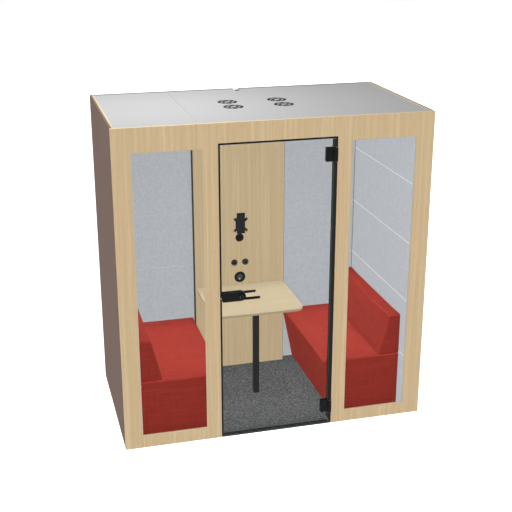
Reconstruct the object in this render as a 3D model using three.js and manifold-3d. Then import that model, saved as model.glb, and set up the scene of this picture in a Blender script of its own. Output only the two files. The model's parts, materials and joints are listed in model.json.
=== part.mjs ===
// Acoustic office pod: a free-standing four-seat meeting booth with a glazed wood front,
// a hinged glass door, two facing upholstered benches, a table and a fan-ventilated roof.
// Millimetres, +Z up, +Y to the rear, -Y is the door side.
import * as THREE from 'three';
import { mergeVertices } from 'three/addons/utils/BufferGeometryUtils.js';
import Module from 'manifold-3d';

const wasm = await Module();
wasm.setup();

// ---------------------------------------------------------------- driving dimensions
const W2 = 1100;            // half of the overall width
const DEPTH = 1210;         // front face to rear face, without the lever
const HEIGHT = 2285;        // floor to the rim of the roof
const Y0 = 577.75;          // front face to the middle of the overall depth, lever included
const LIFT = 4;             // walls stand this far off the floor, on the levelling feet

const FRAME_T = 100;        // depth of the door frame and of the posts behind the front boards
const EDGE = 20;            // thickness of the front boards, in front of the side panels and the roof
const POST_BACK = 488;      // outer side of the posts behind the front boards
const STILE_IN = 978;       // window edge at the corner stiles
const POST_OUT = 511;       // window edge at the door posts
const DOOR_X = 410;         // half of the door opening in the wood
const SILL_TOP = 92;
const WIN_TOP = 2121;
const DOOR_TOP = 2152;
const ROOF_SEAT = 2265;     // the roof panels rest on this level
const ROOF_TOP = 2283;
const RIM_X = 1072;         // edge of the roof panels at the side rims
const ROOF_JOINT = 530;     // joints between the three roof panels

const SKIN_IN = 1085;       // inner face of the outer side panels
const CORE_IN = 992;        // inner face of the side wall cores
const FELT_IN = 972;        // visible face of the side felt
const REAR_FELT = 1165;     // visible face of the rear felt
const REAR_SKIN = 1192;     // inner face of the outer rear panel
const CEIL = 2212;          // underside of the ceiling
const CEIL_TOP = 2230;
const DECK_TOP = 10;
const CARPET_TOP = 16;
const FELT_PITCH = 436.5;   // height of one felt tile
const FELT_JOINT_1 = 467;   // lowest joint between felt tiles above the floor
const PANEL_X = 363;        // half width of the rear wood panel
const PANEL_Y = 1100;       // its face
const PANEL_JOINTS = [716, 1164];         // the panel is made of three boards, the middle one carries the fittings

const GLASS_Y0 = 12, GLASS_Y1 = 22;       // door pane, 10 mm glass
const WIN_Y0 = 6, WIN_Y1 = 16;            // fixed panes in the front boards
const DOOR_XL = -394, DOOR_XR = 386;      // door leaf
const DOOR_ZB = 28, DOOR_ZT = 2136;
const HINGE_X = 400, HINGE_Y = -9;        // hinge axis, in front of the frame
const HINGE_H = 96;
const HINGES = [['top', 1981.5], ['bottom', 100]];
const LOCK_X = -261, LOCK_Z = 1076;       // lever axis
const LEVER_END = -140, LEVER_Y = 45, LEVER_R = 9.5;

const SEAT_TOP = 455, SEAT_FRONT = 371, SEAT_TOE = 458;
const BACK_FOOT = 802, BACK_LIP = 879, BACK_TOP = 757;
const BENCH_OUT = 970, BENCH_Y0 = 102.5, BENCH_Y1 = 1162;
const TABLE_Z = 725, TABLE_T = 18, TABLE_X = 355, TABLE_Y0 = 488, TABLE_R = 70;
const LEG = 42, LEG_Y = 600;
const FAN_X = 182, FAN_Y = 605, FAN_DY = 92, FAN_R = 57;
const VESA_Z = 1240;        // tilt axis and screen centre

// ---------------------------------------------------------------- shape helpers
const plain = (g) => {
  const c = g.clone();
  for (const n of Object.keys(c.attributes)) if (n !== 'position') c.deleteAttribute(n);
  return mergeVertices(c, 1e-4);
};
const solid = (g) => {
  const m = plain(g);
  return new wasm.Manifold(new wasm.Mesh({
    numProp: 3,
    vertProperties: new Float32Array(m.attributes.position.array),
    triVerts: new Uint32Array(m.index.array),
  }));
};
const back = (s) => {
  const m = s.getMesh();
  const n = m.numProp, v = m.vertProperties, p = new Float32Array((v.length / n) * 3);
  for (let i = 0; i < v.length / n; i++) for (let k = 0; k < 3; k++) p[3 * i + k] = v[n * i + k];
  const g = new THREE.BufferGeometry();
  g.setAttribute('position', new THREE.BufferAttribute(p, 3));
  g.setIndex(new THREE.BufferAttribute(new Uint32Array(m.triVerts), 1));
  return g;
};
const cut = (a, ...bs) => back(bs.reduce((s, b) => s.subtract(solid(b)), solid(a)));
const join = (a, ...bs) => back(bs.reduce((s, b) => s.add(solid(b)), solid(a)));

// box between two corners
const box = (x0, x1, y0, y1, z0, z1) =>
  new THREE.BoxGeometry(Math.abs(x1 - x0), Math.abs(y1 - y0), Math.abs(z1 - z0))
    .translate((x0 + x1) / 2, (y0 + y1) / 2, (z0 + z1) / 2);
const shape = (pts) => new THREE.Shape(pts.map(([a, b]) => new THREE.Vector2(a, b)));
// outline in X and Z, swept along Y
const prismXZ = (pts, y0, y1) =>
  new THREE.ExtrudeGeometry(Array.isArray(pts) ? shape(pts) : pts, { depth: y1 - y0, bevelEnabled: false, curveSegments: 8 })
    .rotateX(Math.PI / 2).translate(0, y1, 0);
// outline in X and Y, swept along Z
const prismXY = (pts, z0, z1) =>
  new THREE.ExtrudeGeometry(Array.isArray(pts) ? shape(pts) : pts, { depth: z1 - z0, bevelEnabled: false, curveSegments: 8 })
    .translate(0, 0, z0);
const cylY = (x, z, r, y0, y1, n = 20) =>
  new THREE.CylinderGeometry(r, r, y1 - y0, n).translate(x, (y0 + y1) / 2, z);
const cylZ = (x, y, r, z0, z1, n = 20) =>
  new THREE.CylinderGeometry(r, r, z1 - z0, n).rotateX(Math.PI / 2).translate(x, y, (z0 + z1) / 2);
const cylX = (y, z, r, x0, x1, n = 16) =>
  new THREE.CylinderGeometry(r, r, x1 - x0, n).rotateZ(Math.PI / 2).translate((x0 + x1) / 2, y, z);
const ball = (x, y, z, r) => new THREE.SphereGeometry(r, 12, 8).translate(x, y, z);

// ---------------------------------------------------------------- finishes
const finish = (color, roughness, metalness = 0) => new THREE.MeshStandardMaterial({ color, roughness, metalness });
const M = {
  wood: finish(0xcbb28c, 0.55),
  panelWood: finish(0xbfa989, 0.55),
  topWood: finish(0xd5c4a6, 0.45),
  taupe: finish(0x7e6e66, 0.7),
  core: finish(0xb9b09a, 0.95),
  felt: finish(0xb3b6bb, 0.95),
  roof: finish(0xd8d8d8, 0.6),
  ceiling: finish(0xe4e4e2, 0.9),
  glass: new THREE.MeshStandardMaterial({ color: 0xd9e6e6, roughness: 0.05, metalness: 0, transparent: true, opacity: 0.25 }),
  black: finish(0x202224, 0.45, 0.6),
  frame: finish(0x2b2d2f, 0.5, 0.6),
  blackPlastic: finish(0x1c1d1e, 0.5),
  rubber: finish(0x18191a, 0.85),
  red: finish(0xb34436, 0.9),
  carpet: finish(0x6a6a6a, 0.98),
  deck: finish(0x1f2021, 0.7),
  steel: finish(0xa9abad, 0.35, 0.9),
  led: finish(0xf4f2ea, 0.4),
};

const group = new THREE.Group();
group.name = 'acoustic_office_pod';
const add = (name, geometry, material) => {
  const g = plain(geometry.translate(0, -Y0, 0));
  g.computeVertexNormals();
  const mesh = new THREE.Mesh(g, material);
  mesh.name = name;
  group.add(mesh);
};
const SIDES = [['left', -1], ['right', 1]];
const mirrorX = (pts, s) => (s > 0 ? pts : pts.map(([x, z]) => [-x, z]).reverse());

// ---------------------------------------------------------------- base
const plan = (mid, front, inner, step, edge, outer, rear) => [
  [-mid, front], [mid, front], [mid, step], [inner, step], [inner, edge], [outer, edge], [outer, rear],
  [-outer, rear], [-outer, edge], [-inner, edge], [-inner, step], [-mid, step]];
add('floor_deck', prismXY(plan(405, 2, POST_BACK + 1, FRAME_T + 0.5, EDGE + 0.5, CORE_IN, REAR_FELT), LIFT, DECK_TOP), M.deck);
add('carpet', prismXY(plan(404, 3, POST_BACK + 1.5, FRAME_T + 1, EDGE + 1, FELT_IN - 1, REAR_FELT - 1), DECK_TOP, CARPET_TOP), M.carpet);
const FEET = [];
for (const [side, s] of SIDES) for (const [end, y] of [['front', 150], ['rear', 1140]]) {
  FEET.push([s * 1036, y]);
  add(`foot_${end}_${side}`, join(
    cylZ(s * 1036, y, 24, 0, LIFT, 20), cylZ(s * 1036, y, 6, LIFT - 1, 60, 12)), M.blackPlastic);
}

// ---------------------------------------------------------------- side and rear walls
for (const [side, s] of SIDES) {
  add(`outer_panel_${side}`, box(s * SKIN_IN, s * W2, EDGE, DEPTH, LIFT, HEIGHT), M.taupe);
  // insulated stud core with a timber rim along the top edge that locates the roof
  let core = join(
    box(s * CORE_IN, s * SKIN_IN, EDGE, REAR_SKIN, LIFT, ROOF_SEAT),
    box(s * RIM_X, s * SKIN_IN, EDGE, REAR_SKIN, ROOF_SEAT - 5, HEIGHT));
  core = cut(core, ...FEET.filter(([x]) => x * s > 0).map(([x, y]) => cylZ(x, y, 6.4, LIFT - 5, 64, 12)));
  add(`wall_core_${side}`, core, M.core);
  const joints = [0, 1, 2, 3].map((k) => {
    const z = FELT_JOINT_1 + k * FELT_PITCH;
    return box(s * (FELT_IN - 5), s * (FELT_IN + 2), EDGE - 5, REAR_FELT + 5, z - 1.5, z + 1.5);
  });
  add(`felt_lining_${side}`, cut(box(s * FELT_IN, s * CORE_IN, EDGE, REAR_FELT - 1, DECK_TOP, CEIL), ...joints), M.felt);
}
// power inlet pocket at the middle of the rear top edge
const inletPocket = box(-20, 20, 1112, DEPTH + 5, 2240, HEIGHT + 5);
add('outer_panel_rear', cut(box(-SKIN_IN, SKIN_IN, REAR_SKIN, DEPTH, LIFT, HEIGHT), inletPocket), M.taupe);
{
  // felt-faced acoustic panel: tile joints on the face, wiring pockets behind the wood panel
  const joints = [0, 1, 2, 3].map((k) => {
    const z = FELT_JOINT_1 + k * FELT_PITCH;
    return box(-CORE_IN - 5, CORE_IN + 5, REAR_FELT - 5, REAR_FELT + 2, z - 1.5, z + 1.5);
  });
  add('rear_lining', cut(box(-CORE_IN, CORE_IN, REAR_FELT, REAR_SKIN, LIFT, CEIL_TOP), ...joints,
    cylY(0, 1122, 31, REAR_FELT - 5, REAR_FELT + 15)), M.felt);
}
{
  const board = (z0, z1) => box(-PANEL_X, PANEL_X, PANEL_Y, REAR_FELT, z0, z1);
  const [low, high] = PANEL_JOINTS;
  add('rear_board_lower', board(CARPET_TOP + 0.5, low - 0.15), M.panelWood);
  add('rear_board_middle', cut(board(low + 0.15, high - 0.15),
    cylY(0, 1122, 30, PANEL_Y - 5, REAR_FELT + 5), cylY(0, 790, 33, PANEL_Y - 5, REAR_FELT + 5),
    cylY(-45, 916, 11, PANEL_Y - 5, REAR_FELT + 5, 16), cylY(45, 916, 11, PANEL_Y - 5, REAR_FELT + 5, 16)), M.panelWood);
  add('rear_board_upper', board(high + 0.15, CEIL), M.panelWood);
}

// ---------------------------------------------------------------- front frame and fixed glazing
const GROOVE = 8.5, gy0 = WIN_Y0 - 0.3, gy1 = WIN_Y1 + 0.3;
for (const [side, s] of SIDES) {
  const pocket = box(s * (POST_OUT - GROOVE), s * (STILE_IN + GROOVE), gy0, gy1, SILL_TOP - GROOVE, WIN_TOP + GROOVE);
  // corner board: stile and sill in one
  add(`front_corner_${side}`, cut(join(
    box(s * STILE_IN, s * W2, 0, EDGE, LIFT, HEIGHT), box(s * POST_OUT, s * (STILE_IN + 5), 0, EDGE, LIFT, SILL_TOP)), pocket), M.wood);
  // door post: front board on a deeper post
  add(`front_post_${side}`, cut(join(
    box(s * DOOR_X, s * POST_OUT, 0, EDGE, LIFT, DOOR_TOP), box(s * DOOR_X, s * POST_BACK, EDGE - 5, FRAME_T, LIFT, DOOR_TOP)), pocket), M.wood);
  add(`window_glass_${side}`,
    box(s * (POST_OUT - 8), s * (STILE_IN + 8), WIN_Y0, WIN_Y1, SILL_TOP - 8, WIN_TOP + 8), M.glass);
}
// top board, with the header over the door and the beam that carries the roof behind it
add('front_top_rail', cut(join(
  prismXZ([[-STILE_IN, WIN_TOP], [-POST_OUT, WIN_TOP], [-POST_OUT, DOOR_TOP], [POST_OUT, DOOR_TOP],
    [POST_OUT, WIN_TOP], [STILE_IN, WIN_TOP], [STILE_IN, HEIGHT], [-STILE_IN, HEIGHT]], 0, EDGE),
  box(-POST_BACK, POST_BACK, EDGE - 5, FRAME_T, DOOR_TOP, ROOF_SEAT),
  box(-STILE_IN, STILE_IN, EDGE - 5, FRAME_T, CEIL_TOP, ROOF_SEAT)),
  box(-STILE_IN - 5, -POST_OUT + 5, gy0, gy1, WIN_TOP - 5, WIN_TOP + GROOVE),
  box(POST_OUT - 5, STILE_IN + 5, gy0, gy1, WIN_TOP - 5, WIN_TOP + GROOVE)), M.wood);

// ---------------------------------------------------------------- roof, ceiling and ventilation
const fans = [];
for (const [a, y] of [['front', FAN_Y - FAN_DY], ['rear', FAN_Y + FAN_DY]])
  for (const [side, s] of SIDES) fans.push([`${a}_${side}`, s * FAN_X, y]);
const arc = (x, y, r0, r1, a0, a1, n) => {
  const p = [];
  for (let i = 0; i <= n; i++) { const a = a0 + (a1 - a0) * i / n; p.push([x + r1 * Math.cos(a), y + r1 * Math.sin(a)]); }
  for (let i = n; i >= 0; i--) { const a = a0 + (a1 - a0) * i / n; p.push([x + r0 * Math.cos(a), y + r0 * Math.sin(a)]); }
  return p;
};
const grille = (x, y) => {
  const slots = [];
  for (const [r0, r1, count, gap] of [[48, 72, 8, 6], [18, 42, 4, 6]])
    for (let k = 0; k < count; k++) {
      const half = Math.PI / count - gap / (r0 + r1), mid = 2 * Math.PI * k / count;
      slots.push(prismXY(arc(x, y, r0, r1, mid - half, mid + half, r0 > 30 ? 2 : 3), ROOF_SEAT - 5, ROOF_TOP + 5));
    }
  return slots;
};
add('roof_panel_left', box(-RIM_X, -ROOF_JOINT - 1, EDGE, REAR_SKIN, ROOF_SEAT, ROOF_TOP), M.roof);
add('roof_panel_right', box(ROOF_JOINT + 1, RIM_X, EDGE, REAR_SKIN, ROOF_SEAT, ROOF_TOP), M.roof);
add('roof_panel_centre', cut(box(-ROOF_JOINT + 1, ROOF_JOINT - 1, EDGE, REAR_SKIN, ROOF_SEAT, ROOF_TOP),
  inletPocket, ...fans.flatMap(([, x, y]) => grille(x, y))), M.roof);
add('ceiling_panel', cut(prismXY([
  [-POST_BACK - 0.5, FRAME_T + 0.5], [POST_BACK + 0.5, FRAME_T + 0.5], [POST_BACK + 0.5, EDGE + 0.5], [CORE_IN, EDGE + 0.5], [CORE_IN, REAR_FELT],
  [-CORE_IN, REAR_FELT], [-CORE_IN, EDGE + 0.5], [-POST_BACK - 0.5, EDGE + 0.5]], CEIL, CEIL_TOP),
  box(-250, 250, 490, 535, CEIL - 5, CEIL_TOP + 5), box(-250, 250, 675, 720, CEIL - 5, CEIL_TOP + 5)), M.ceiling);
add('ceiling_light', box(-450, 450, 230, 350, 2204, CEIL), M.led);
add('power_inlet', cut(box(-19.5, 19.5, 1112.5, DEPTH - 0.5, 2240.5, 2275),
  box(-12, 12, 1194, DEPTH + 5, 2250, 2266)), M.blackPlastic);
{
  const z0 = 2231, z1 = 2261;
  let tray = cut(box(-260, 260, FAN_Y - 165, FAN_Y + 165, z0, z1),
    ...fans.map(([, x, y]) => cylZ(x, y, FAN_R, z0 - 5, z1 + 5, 20)));
  const spiders = fans.flatMap(([, x, y]) => [
    cylZ(x, y, 20, z0, z0 + 4, 12),
    ...[0, 1, 2].map((k) => new THREE.BoxGeometry(FAN_R - 8, 6, 4).translate((FAN_R - 8) / 2 + 12, 0, 0)
      .rotateZ(Math.PI / 2 + k * 2 * Math.PI / 3).translate(x, y, z0 + 2)),
  ]);
  add('fan_tray', join(tray, ...spiders), M.blackPlastic);
  for (const [name, x, y] of fans) {
    const blades = [0, 1, 2, 3, 4, 5, 6].map((k) => new THREE.BoxGeometry(37, 2.4, 24).rotateX(0.95)
      .translate(35.5, 0, 0).rotateZ(k * 2 * Math.PI / 7).translate(x, y, z0 + 16));
    add(`fan_rotor_${name}`, join(cylZ(x, y, 20, z0 + 6, z0 + 27, 14), ...blades), M.blackPlastic);
  }
}

// ---------------------------------------------------------------- door frame
const strike = box(-DOOR_X - 1, -396, 0, 23.5, LOCK_Z - 10, LOCK_Z + 10);   // latch recess, open to the front
for (const [side, s] of SIDES) {
  let jamb = join(box(s * 406, s * DOOR_X, 4, FRAME_T, LIFT + 1, DOOR_TOP), box(s * 398, s * DOOR_X, 2, 6, CARPET_TOP + 0.5, DOOR_TOP));
  if (s < 0) jamb = cut(jamb, strike);
  add(`door_jamb_${side}`, jamb, M.frame);
}
add('door_head', join(box(-405.7, 405.7, 6.3, FRAME_T, 2148, DOOR_TOP), box(-397.7, 397.7, 2, 8, 2140, DOOR_TOP),
  box(-405.7, 405.7, 22.5, 32.5, 2131, 2150)), M.frame);

// ---------------------------------------------------------------- door leaf
add('door_glass', cut(box(DOOR_XL, DOOR_XR, GLASS_Y0, GLASS_Y1, DOOR_ZB, DOOR_ZT),
  box(DOOR_XL - 5, -340, GLASS_Y0 - 5, GLASS_Y1 + 5, LOCK_Z - 16, LOCK_Z + 16),
  cylY(LOCK_X, LOCK_Z, 9, GLASS_Y0 - 5, GLASS_Y1 + 5, 16)), M.glass);
add('door_bottom_seal', box(DOOR_XL + 2, DOOR_XR - 2, 13, 21, 20, DOOR_ZB - 0.3), M.rubber);
for (const [end, z] of HINGES) {
  const a = z + 28, b = z + HINGE_H - 28, top = z + HINGE_H;
  // frame half: outer knuckles, pin and screw flange on the frame lip
  add(`hinge_frame_${end}`, join(
    cylZ(HINGE_X, HINGE_Y, 9, z, a, 20), cylZ(HINGE_X, HINGE_Y, 9, b, top, 20), cylZ(HINGE_X, HINGE_Y, 4, z + 2, top - 2, 16),
    box(398, 409.5, HINGE_Y, 1.7, z, a), box(398, 409.5, HINGE_Y, 1.7, b, top), box(398, 409.5, 0.3, 1.7, z, top)), M.black);
  // leaf half: clamp around the glass edge with the middle knuckle
  add(`hinge_leaf_${end}`, cut(join(
    cylZ(HINGE_X, HINGE_Y, 9, a + 0.5, b - 0.5, 20),
    box(380, 396, -13, 4, a + 0.5, b - 0.5),
    box(331, 390, 2, GLASS_Y0 - 0.3, z, top), box(331, 390, GLASS_Y1 + 0.3, 30, z, top),
    box(DOOR_XR + 0.3, 390, 5, 28, z, top)), cylZ(HINGE_X, HINGE_Y, 4.1, z, top, 16)), M.black);
}
{
  const half = 32.5, end = new THREE.Shape();
  end.moveTo(-391, LOCK_Z - half);
  end.lineTo(LOCK_X, LOCK_Z - half);
  end.absarc(LOCK_X, LOCK_Z, half, -Math.PI / 2, Math.PI / 2, false);
  end.lineTo(-391, LOCK_Z + half);
  end.closePath();
  add('lock_case', cut(join(
    prismXZ(end, -4, GLASS_Y0 - 0.3), prismXZ(end, GLASS_Y1 + 0.3, 38),
    box(-391, -341, 5, 30, LOCK_Z - 15, LOCK_Z + 15)),
    box(-396, -350, 12.5, 21.5, LOCK_Z - 8.5, LOCK_Z + 8.5),
    cylY(LOCK_X, LOCK_Z, 5.3, -10, 45, 16)), M.black);
  add('latch_bolt', prismXY([[-407.5, 13], [-363, 13], [-363, 21], [-398, 21]], LOCK_Z - 8, LOCK_Z + 8), M.steel);
  const lever = (dir, face, y) => join(
    cylY(LOCK_X, LOCK_Z, 16, ...(dir < 0 ? [face - 5, face] : [face, face + 5]), 20),
    cylY(LOCK_X, LOCK_Z, LEVER_R, ...(dir < 0 ? [y, face - 2] : [face + 2, y]), 16),
    ball(LOCK_X, y, LOCK_Z, LEVER_R), cylX(y, LOCK_Z, LEVER_R, LOCK_X, LEVER_END, 16));
  add('lever_outer', cut(lever(-1, -4.5, -LEVER_Y), cylY(LOCK_X, LOCK_Z, 5.3, -30, 0, 16)), M.black);
  add('lever_inner', join(lever(1, 38.5, 75), cylY(LOCK_X, LOCK_Z, 5, -28, 45, 16)), M.black);
}

// ---------------------------------------------------------------- benches and table
for (const [side, s] of SIDES) {
  add(`bench_seat_${side}`, prismXZ(mirrorX([
    [SEAT_FRONT, SEAT_TOP], [SEAT_TOE, CARPET_TOP + 0.5], [BENCH_OUT, CARPET_TOP + 0.5], [BENCH_OUT, SEAT_TOP]], s), BENCH_Y0, BENCH_Y1), M.red);
  add(`bench_back_${side}`, prismXZ(mirrorX([
    [BACK_FOOT, SEAT_TOP + 0.5], [BENCH_OUT, SEAT_TOP + 0.5], [BENCH_OUT, BACK_TOP], [BACK_LIP, BACK_TOP]], s), BENCH_Y0, BENCH_Y1), M.red);
}
{
  const t = new THREE.Shape(), r = TABLE_R, y1 = PANEL_Y - 0.5;
  t.moveTo(-TABLE_X, y1);
  t.lineTo(-TABLE_X, TABLE_Y0 + r);
  t.absarc(-TABLE_X + r, TABLE_Y0 + r, r, Math.PI, 1.5 * Math.PI, false);
  t.lineTo(TABLE_X - r, TABLE_Y0);
  t.absarc(TABLE_X - r, TABLE_Y0 + r, r, 1.5 * Math.PI, 2 * Math.PI, false);
  t.lineTo(TABLE_X, y1);
  t.closePath();
  add('table_top', prismXY(t, TABLE_Z - TABLE_T, TABLE_Z), M.topWood);
  add('table_leg', join(
    box(-LEG / 2, LEG / 2, LEG_Y - LEG / 2, LEG_Y + LEG / 2, CARPET_TOP + 0.3, TABLE_Z - TABLE_T - 2),
    box(-70, 70, LEG_Y - 70, LEG_Y + 70, TABLE_Z - TABLE_T - 5.3, TABLE_Z - TABLE_T - 0.3)), M.black);
}

// ---------------------------------------------------------------- fittings on the rear wood panel
// screen mount: a tilting head on two lugs of the wall plate
const PIN_Y = 1076;
add('monitor_wall_plate', cut(join(
  box(-32.5, 32.5, 1092, PANEL_Y - 0.3, VESA_Z - 45, VESA_Z + 45),
  box(-22, -16, PIN_Y - 11, 1094, VESA_Z - 14, VESA_Z + 14), box(16, 22, PIN_Y - 11, 1094, VESA_Z - 14, VESA_Z + 14)),
  cylX(PIN_Y, VESA_Z, 4.1, -30, 30)), M.black);
{
  const arm = (a) => new THREE.BoxGeometry(150, 4.5, 18).rotateY(a).translate(0, 1058.75, VESA_Z);
  const holes = [[-50, -50], [50, -50], [-50, 50], [50, 50]].map(([x, z]) => cylY(x, VESA_Z + z, 2.6, 1045, 1070, 12));
  add('monitor_head', cut(join(arm(Math.PI / 4), arm(-Math.PI / 4), box(-32.5, 32.5, 1052, 1057, VESA_Z - 70, VESA_Z + 98),
    box(-13, 13, 1055, 1084, VESA_Z - 8, VESA_Z + 8), cylX(PIN_Y, VESA_Z, 4, -25, 25)), ...holes), M.black);
}
add('cable_grommet', cut(join(cylY(0, 1122, 33.5, 1096.5, PANEL_Y - 0.3, 24), cylY(0, 1122, 29.5, 1098, 1119, 24)),
  cylY(0, 1122, 24, 1090, 1125, 24)), M.blackPlastic);
for (const [name, x] of [['light_button', -45], ['fan_button', 45]])
  add(name, join(cylY(x, 916, 25.5, 1089, 1095.5, 24), cylY(x, 916, 10, 1094, 1130, 16)), M.blackPlastic);
add('power_socket', cut(join(cylY(0, 790, 45, 1095, PANEL_Y - 0.3, 24), cylY(0, 790, 32, 1098, 1155, 24)),
  cylY(0, 790, 22, 1090, 1113, 16)), M.blackPlastic);

export default group;
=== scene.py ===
import bpy, bmesh, json, math
from mathutils import Vector, Matrix
from mathutils.bvhtree import BVHTree
from mathutils.kdtree import KDTree


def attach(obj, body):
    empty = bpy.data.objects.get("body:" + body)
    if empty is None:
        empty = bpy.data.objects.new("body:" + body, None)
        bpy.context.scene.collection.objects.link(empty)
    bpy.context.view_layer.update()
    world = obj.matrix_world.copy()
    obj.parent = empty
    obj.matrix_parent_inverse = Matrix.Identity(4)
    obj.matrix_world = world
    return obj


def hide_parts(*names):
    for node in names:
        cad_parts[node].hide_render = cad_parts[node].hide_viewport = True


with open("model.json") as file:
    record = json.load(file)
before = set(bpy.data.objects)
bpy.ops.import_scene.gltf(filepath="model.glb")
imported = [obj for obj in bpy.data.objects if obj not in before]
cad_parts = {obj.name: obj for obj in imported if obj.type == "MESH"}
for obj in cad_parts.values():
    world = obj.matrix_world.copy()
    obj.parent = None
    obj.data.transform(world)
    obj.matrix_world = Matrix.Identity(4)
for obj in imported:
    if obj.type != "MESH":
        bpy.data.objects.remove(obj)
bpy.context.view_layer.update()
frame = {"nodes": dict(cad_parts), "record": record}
N = frame["nodes"]
scene = bpy.context.scene
Y0 = 577.75            # front face of the wood to the middle of the row, in mm


def P(x, y, z):
    """Millimetres from the front face to metres in the row frame."""
    return Vector((x / 1000, (y - Y0) / 1000, z / 1000))


# ------------------------------------------------------------------ camera
az, el, roll = math.radians(-14.85), math.radians(19.64), math.radians(-0.041)
backv = Vector((math.sin(az) * math.cos(el), -math.cos(az) * math.cos(el), math.sin(el)))
right = Vector((-backv.y, backv.x, 0)).normalized()
upv = backv.cross(right)
rot = Matrix((right, upv, backv)).transposed().to_4x4() @ Matrix.Rotation(roll, 4, "Z")
cam_data = bpy.data.cameras.new("camera")
cam_data.sensor_width = 36
cam_data.lens = 989.2 * 36 / 512
cam_data.shift_x, cam_data.shift_y = -0.35 / 512, 0.5 / 512
cam_data.clip_end = 100
cam = bpy.data.objects.new("camera", cam_data)
scene.collection.objects.link(cam)
cam.matrix_world = Matrix.Translation((-1.7722, -6.1005 - Y0 / 1000, 3.6082)) @ rot
scene.camera = cam


# ------------------------------------------------------------------ material helpers
def srgb(r, g, b, a=1.0):
    out = []
    for v in (r, g, b):
        v /= 255
        out.append(v / 12.92 if v <= 0.04045 else ((v + 0.055) / 1.055) ** 2.4)
    return (*out, a)


def shade(c, k):
    return (min(1, c[0] * k), min(1, c[1] * k), min(1, c[2] * k), 1.0)


class Mat:
    def __init__(self, name, roughness=0.5, metallic=0.0, specular=0.5):
        self.m = bpy.data.materials.new(name)
        self.m.use_nodes = True
        self.t = self.m.node_tree
        self.t.nodes.clear()
        self.out = self.t.nodes.new("ShaderNodeOutputMaterial")
        self.p = self.t.nodes.new("ShaderNodeBsdfPrincipled")
        self.t.links.new(self.p.outputs[0], self.out.inputs[0])
        self.p.inputs["Roughness"].default_value = roughness
        self.p.inputs["Metallic"].default_value = metallic
        self.p.inputs["Specular IOR Level"].default_value = specular
        self.tc = self.t.nodes.new("ShaderNodeTexCoord")

    def link(self, a, b):
        self.t.links.new(a, b)

    def vec(self, scale, kind="Object", turn=(0, 0, 0)):
        n = self.t.nodes.new("ShaderNodeMapping")
        n.inputs["Scale"].default_value = scale
        n.inputs["Rotation"].default_value = turn
        self.link(self.tc.outputs[kind], n.inputs["Vector"])
        return n.outputs[0]

    def noise(self, v, scale=1.0, detail=2.0, rough=0.5, distort=0.0):
        n = self.t.nodes.new("ShaderNodeTexNoise")
        n.inputs["Scale"].default_value = scale
        n.inputs["Detail"].default_value = detail
        n.inputs["Roughness"].default_value = rough
        n.inputs["Distortion"].default_value = distort
        self.link(v, n.inputs["Vector"])
        return n.outputs["Fac"]

    def voronoi(self, v, scale, out="Distance", feature="F1"):
        n = self.t.nodes.new("ShaderNodeTexVoronoi")
        n.feature = feature
        n.inputs["Scale"].default_value = scale
        self.link(v, n.inputs["Vector"])
        return n.outputs[out]

    def wave(self, v, scale, direction="X", distort=0.0):
        n = self.t.nodes.new("ShaderNodeTexWave")
        n.bands_direction = direction
        n.inputs["Scale"].default_value = scale
        n.inputs["Distortion"].default_value = distort
        n.inputs["Detail"].default_value = 1.0
        self.link(v, n.inputs["Vector"])
        return n.outputs["Fac"]

    def range(self, s, a, b, lo=0.0, hi=1.0):
        n = self.t.nodes.new("ShaderNodeMapRange")
        for k, x in zip(("From Min", "From Max", "To Min", "To Max"), (a, b, lo, hi)):
            n.inputs[k].default_value = x
        self.link(s, n.inputs["Value"])
        return n.outputs[0]

    def math(self, op, a, b):
        n = self.t.nodes.new("ShaderNodeMath")
        n.operation = op
        for i, x in enumerate((a, b)):
            if isinstance(x, (int, float)):
                n.inputs[i].default_value = x
            else:
                self.link(x, n.inputs[i])
        return n.outputs[0]

    def mix(self, f, a, b):
        n = self.t.nodes.new("ShaderNodeMix")
        n.data_type = "RGBA"
        self.link(f, n.inputs["Factor"])
        for key, x in (("A", a), ("B", b)):
            s = [i for i in n.inputs if i.name == key and i.type == "RGBA"][0]
            if isinstance(x, tuple):
                s.default_value = x
            else:
                self.link(x, s)
        return [o for o in n.outputs if o.type == "RGBA"][0]

    def colour(self, c):
        self.link(c, self.p.inputs["Base Color"])

    def rough(self, s):
        self.link(s, self.p.inputs["Roughness"])

    def bump(self, h, strength=0.2, dist=0.001):
        n = self.t.nodes.new("ShaderNodeBump")
        n.inputs["Strength"].default_value = strength
        n.inputs["Distance"].default_value = dist
        self.link(h, n.inputs["Height"])
        self.link(n.outputs[0], self.p.inputs["Normal"])


def wood(name, c, grain="Z", rough=0.5, tone=1.0):
    m = Mat(name, rough, specular=0.35)
    ax = {"Z": lambda a, b: (a, a, b), "X": lambda a, b: (b, a, a)}[grain]
    broad = m.noise(m.vec(ax(11, 0.22)), 1, 3, 0.55)
    band = m.noise(m.vec(ax(46, 0.5)), 1, 3, 0.6)
    fine = m.noise(m.vec(ax(210, 2.2)), 1, 4, 0.6)
    pores = m.noise(m.vec(ax(620, 13)), 1, 2, 0.5)
    base = m.mix(m.range(broad, 0.32, 0.68), (c[0] * 0.985, c[1] * 0.93, c[2] * 0.92, 1), (min(1, c[0] * 1.035), min(1, c[1] * 1.055), min(1, c[2] * 1.03), 1))
    base = m.mix(m.range(band, 0.35, 0.7, 0.0, 0.75 * tone), base, (c[0] * 0.9, c[1] * 0.87, c[2] * 0.82, 1))
    base = m.mix(m.range(fine, 0.42, 0.75, 0.0, 0.5 * tone), base, (c[0] * 0.84, c[1] * 0.8, c[2] * 0.72, 1))
    base = m.mix(m.range(pores, 0.63, 0.72, 0.0, 0.35 * tone), base, shade(c, 0.6))
    m.colour(base)
    m.rough(m.range(fine, 0.2, 0.8, rough - 0.06, rough + 0.1))
    m.bump(m.math("SUBTRACT", fine, m.range(pores, 0.6, 0.75, 0.0, 0.6)), 0.12, 0.0004)
    return m.m


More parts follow.
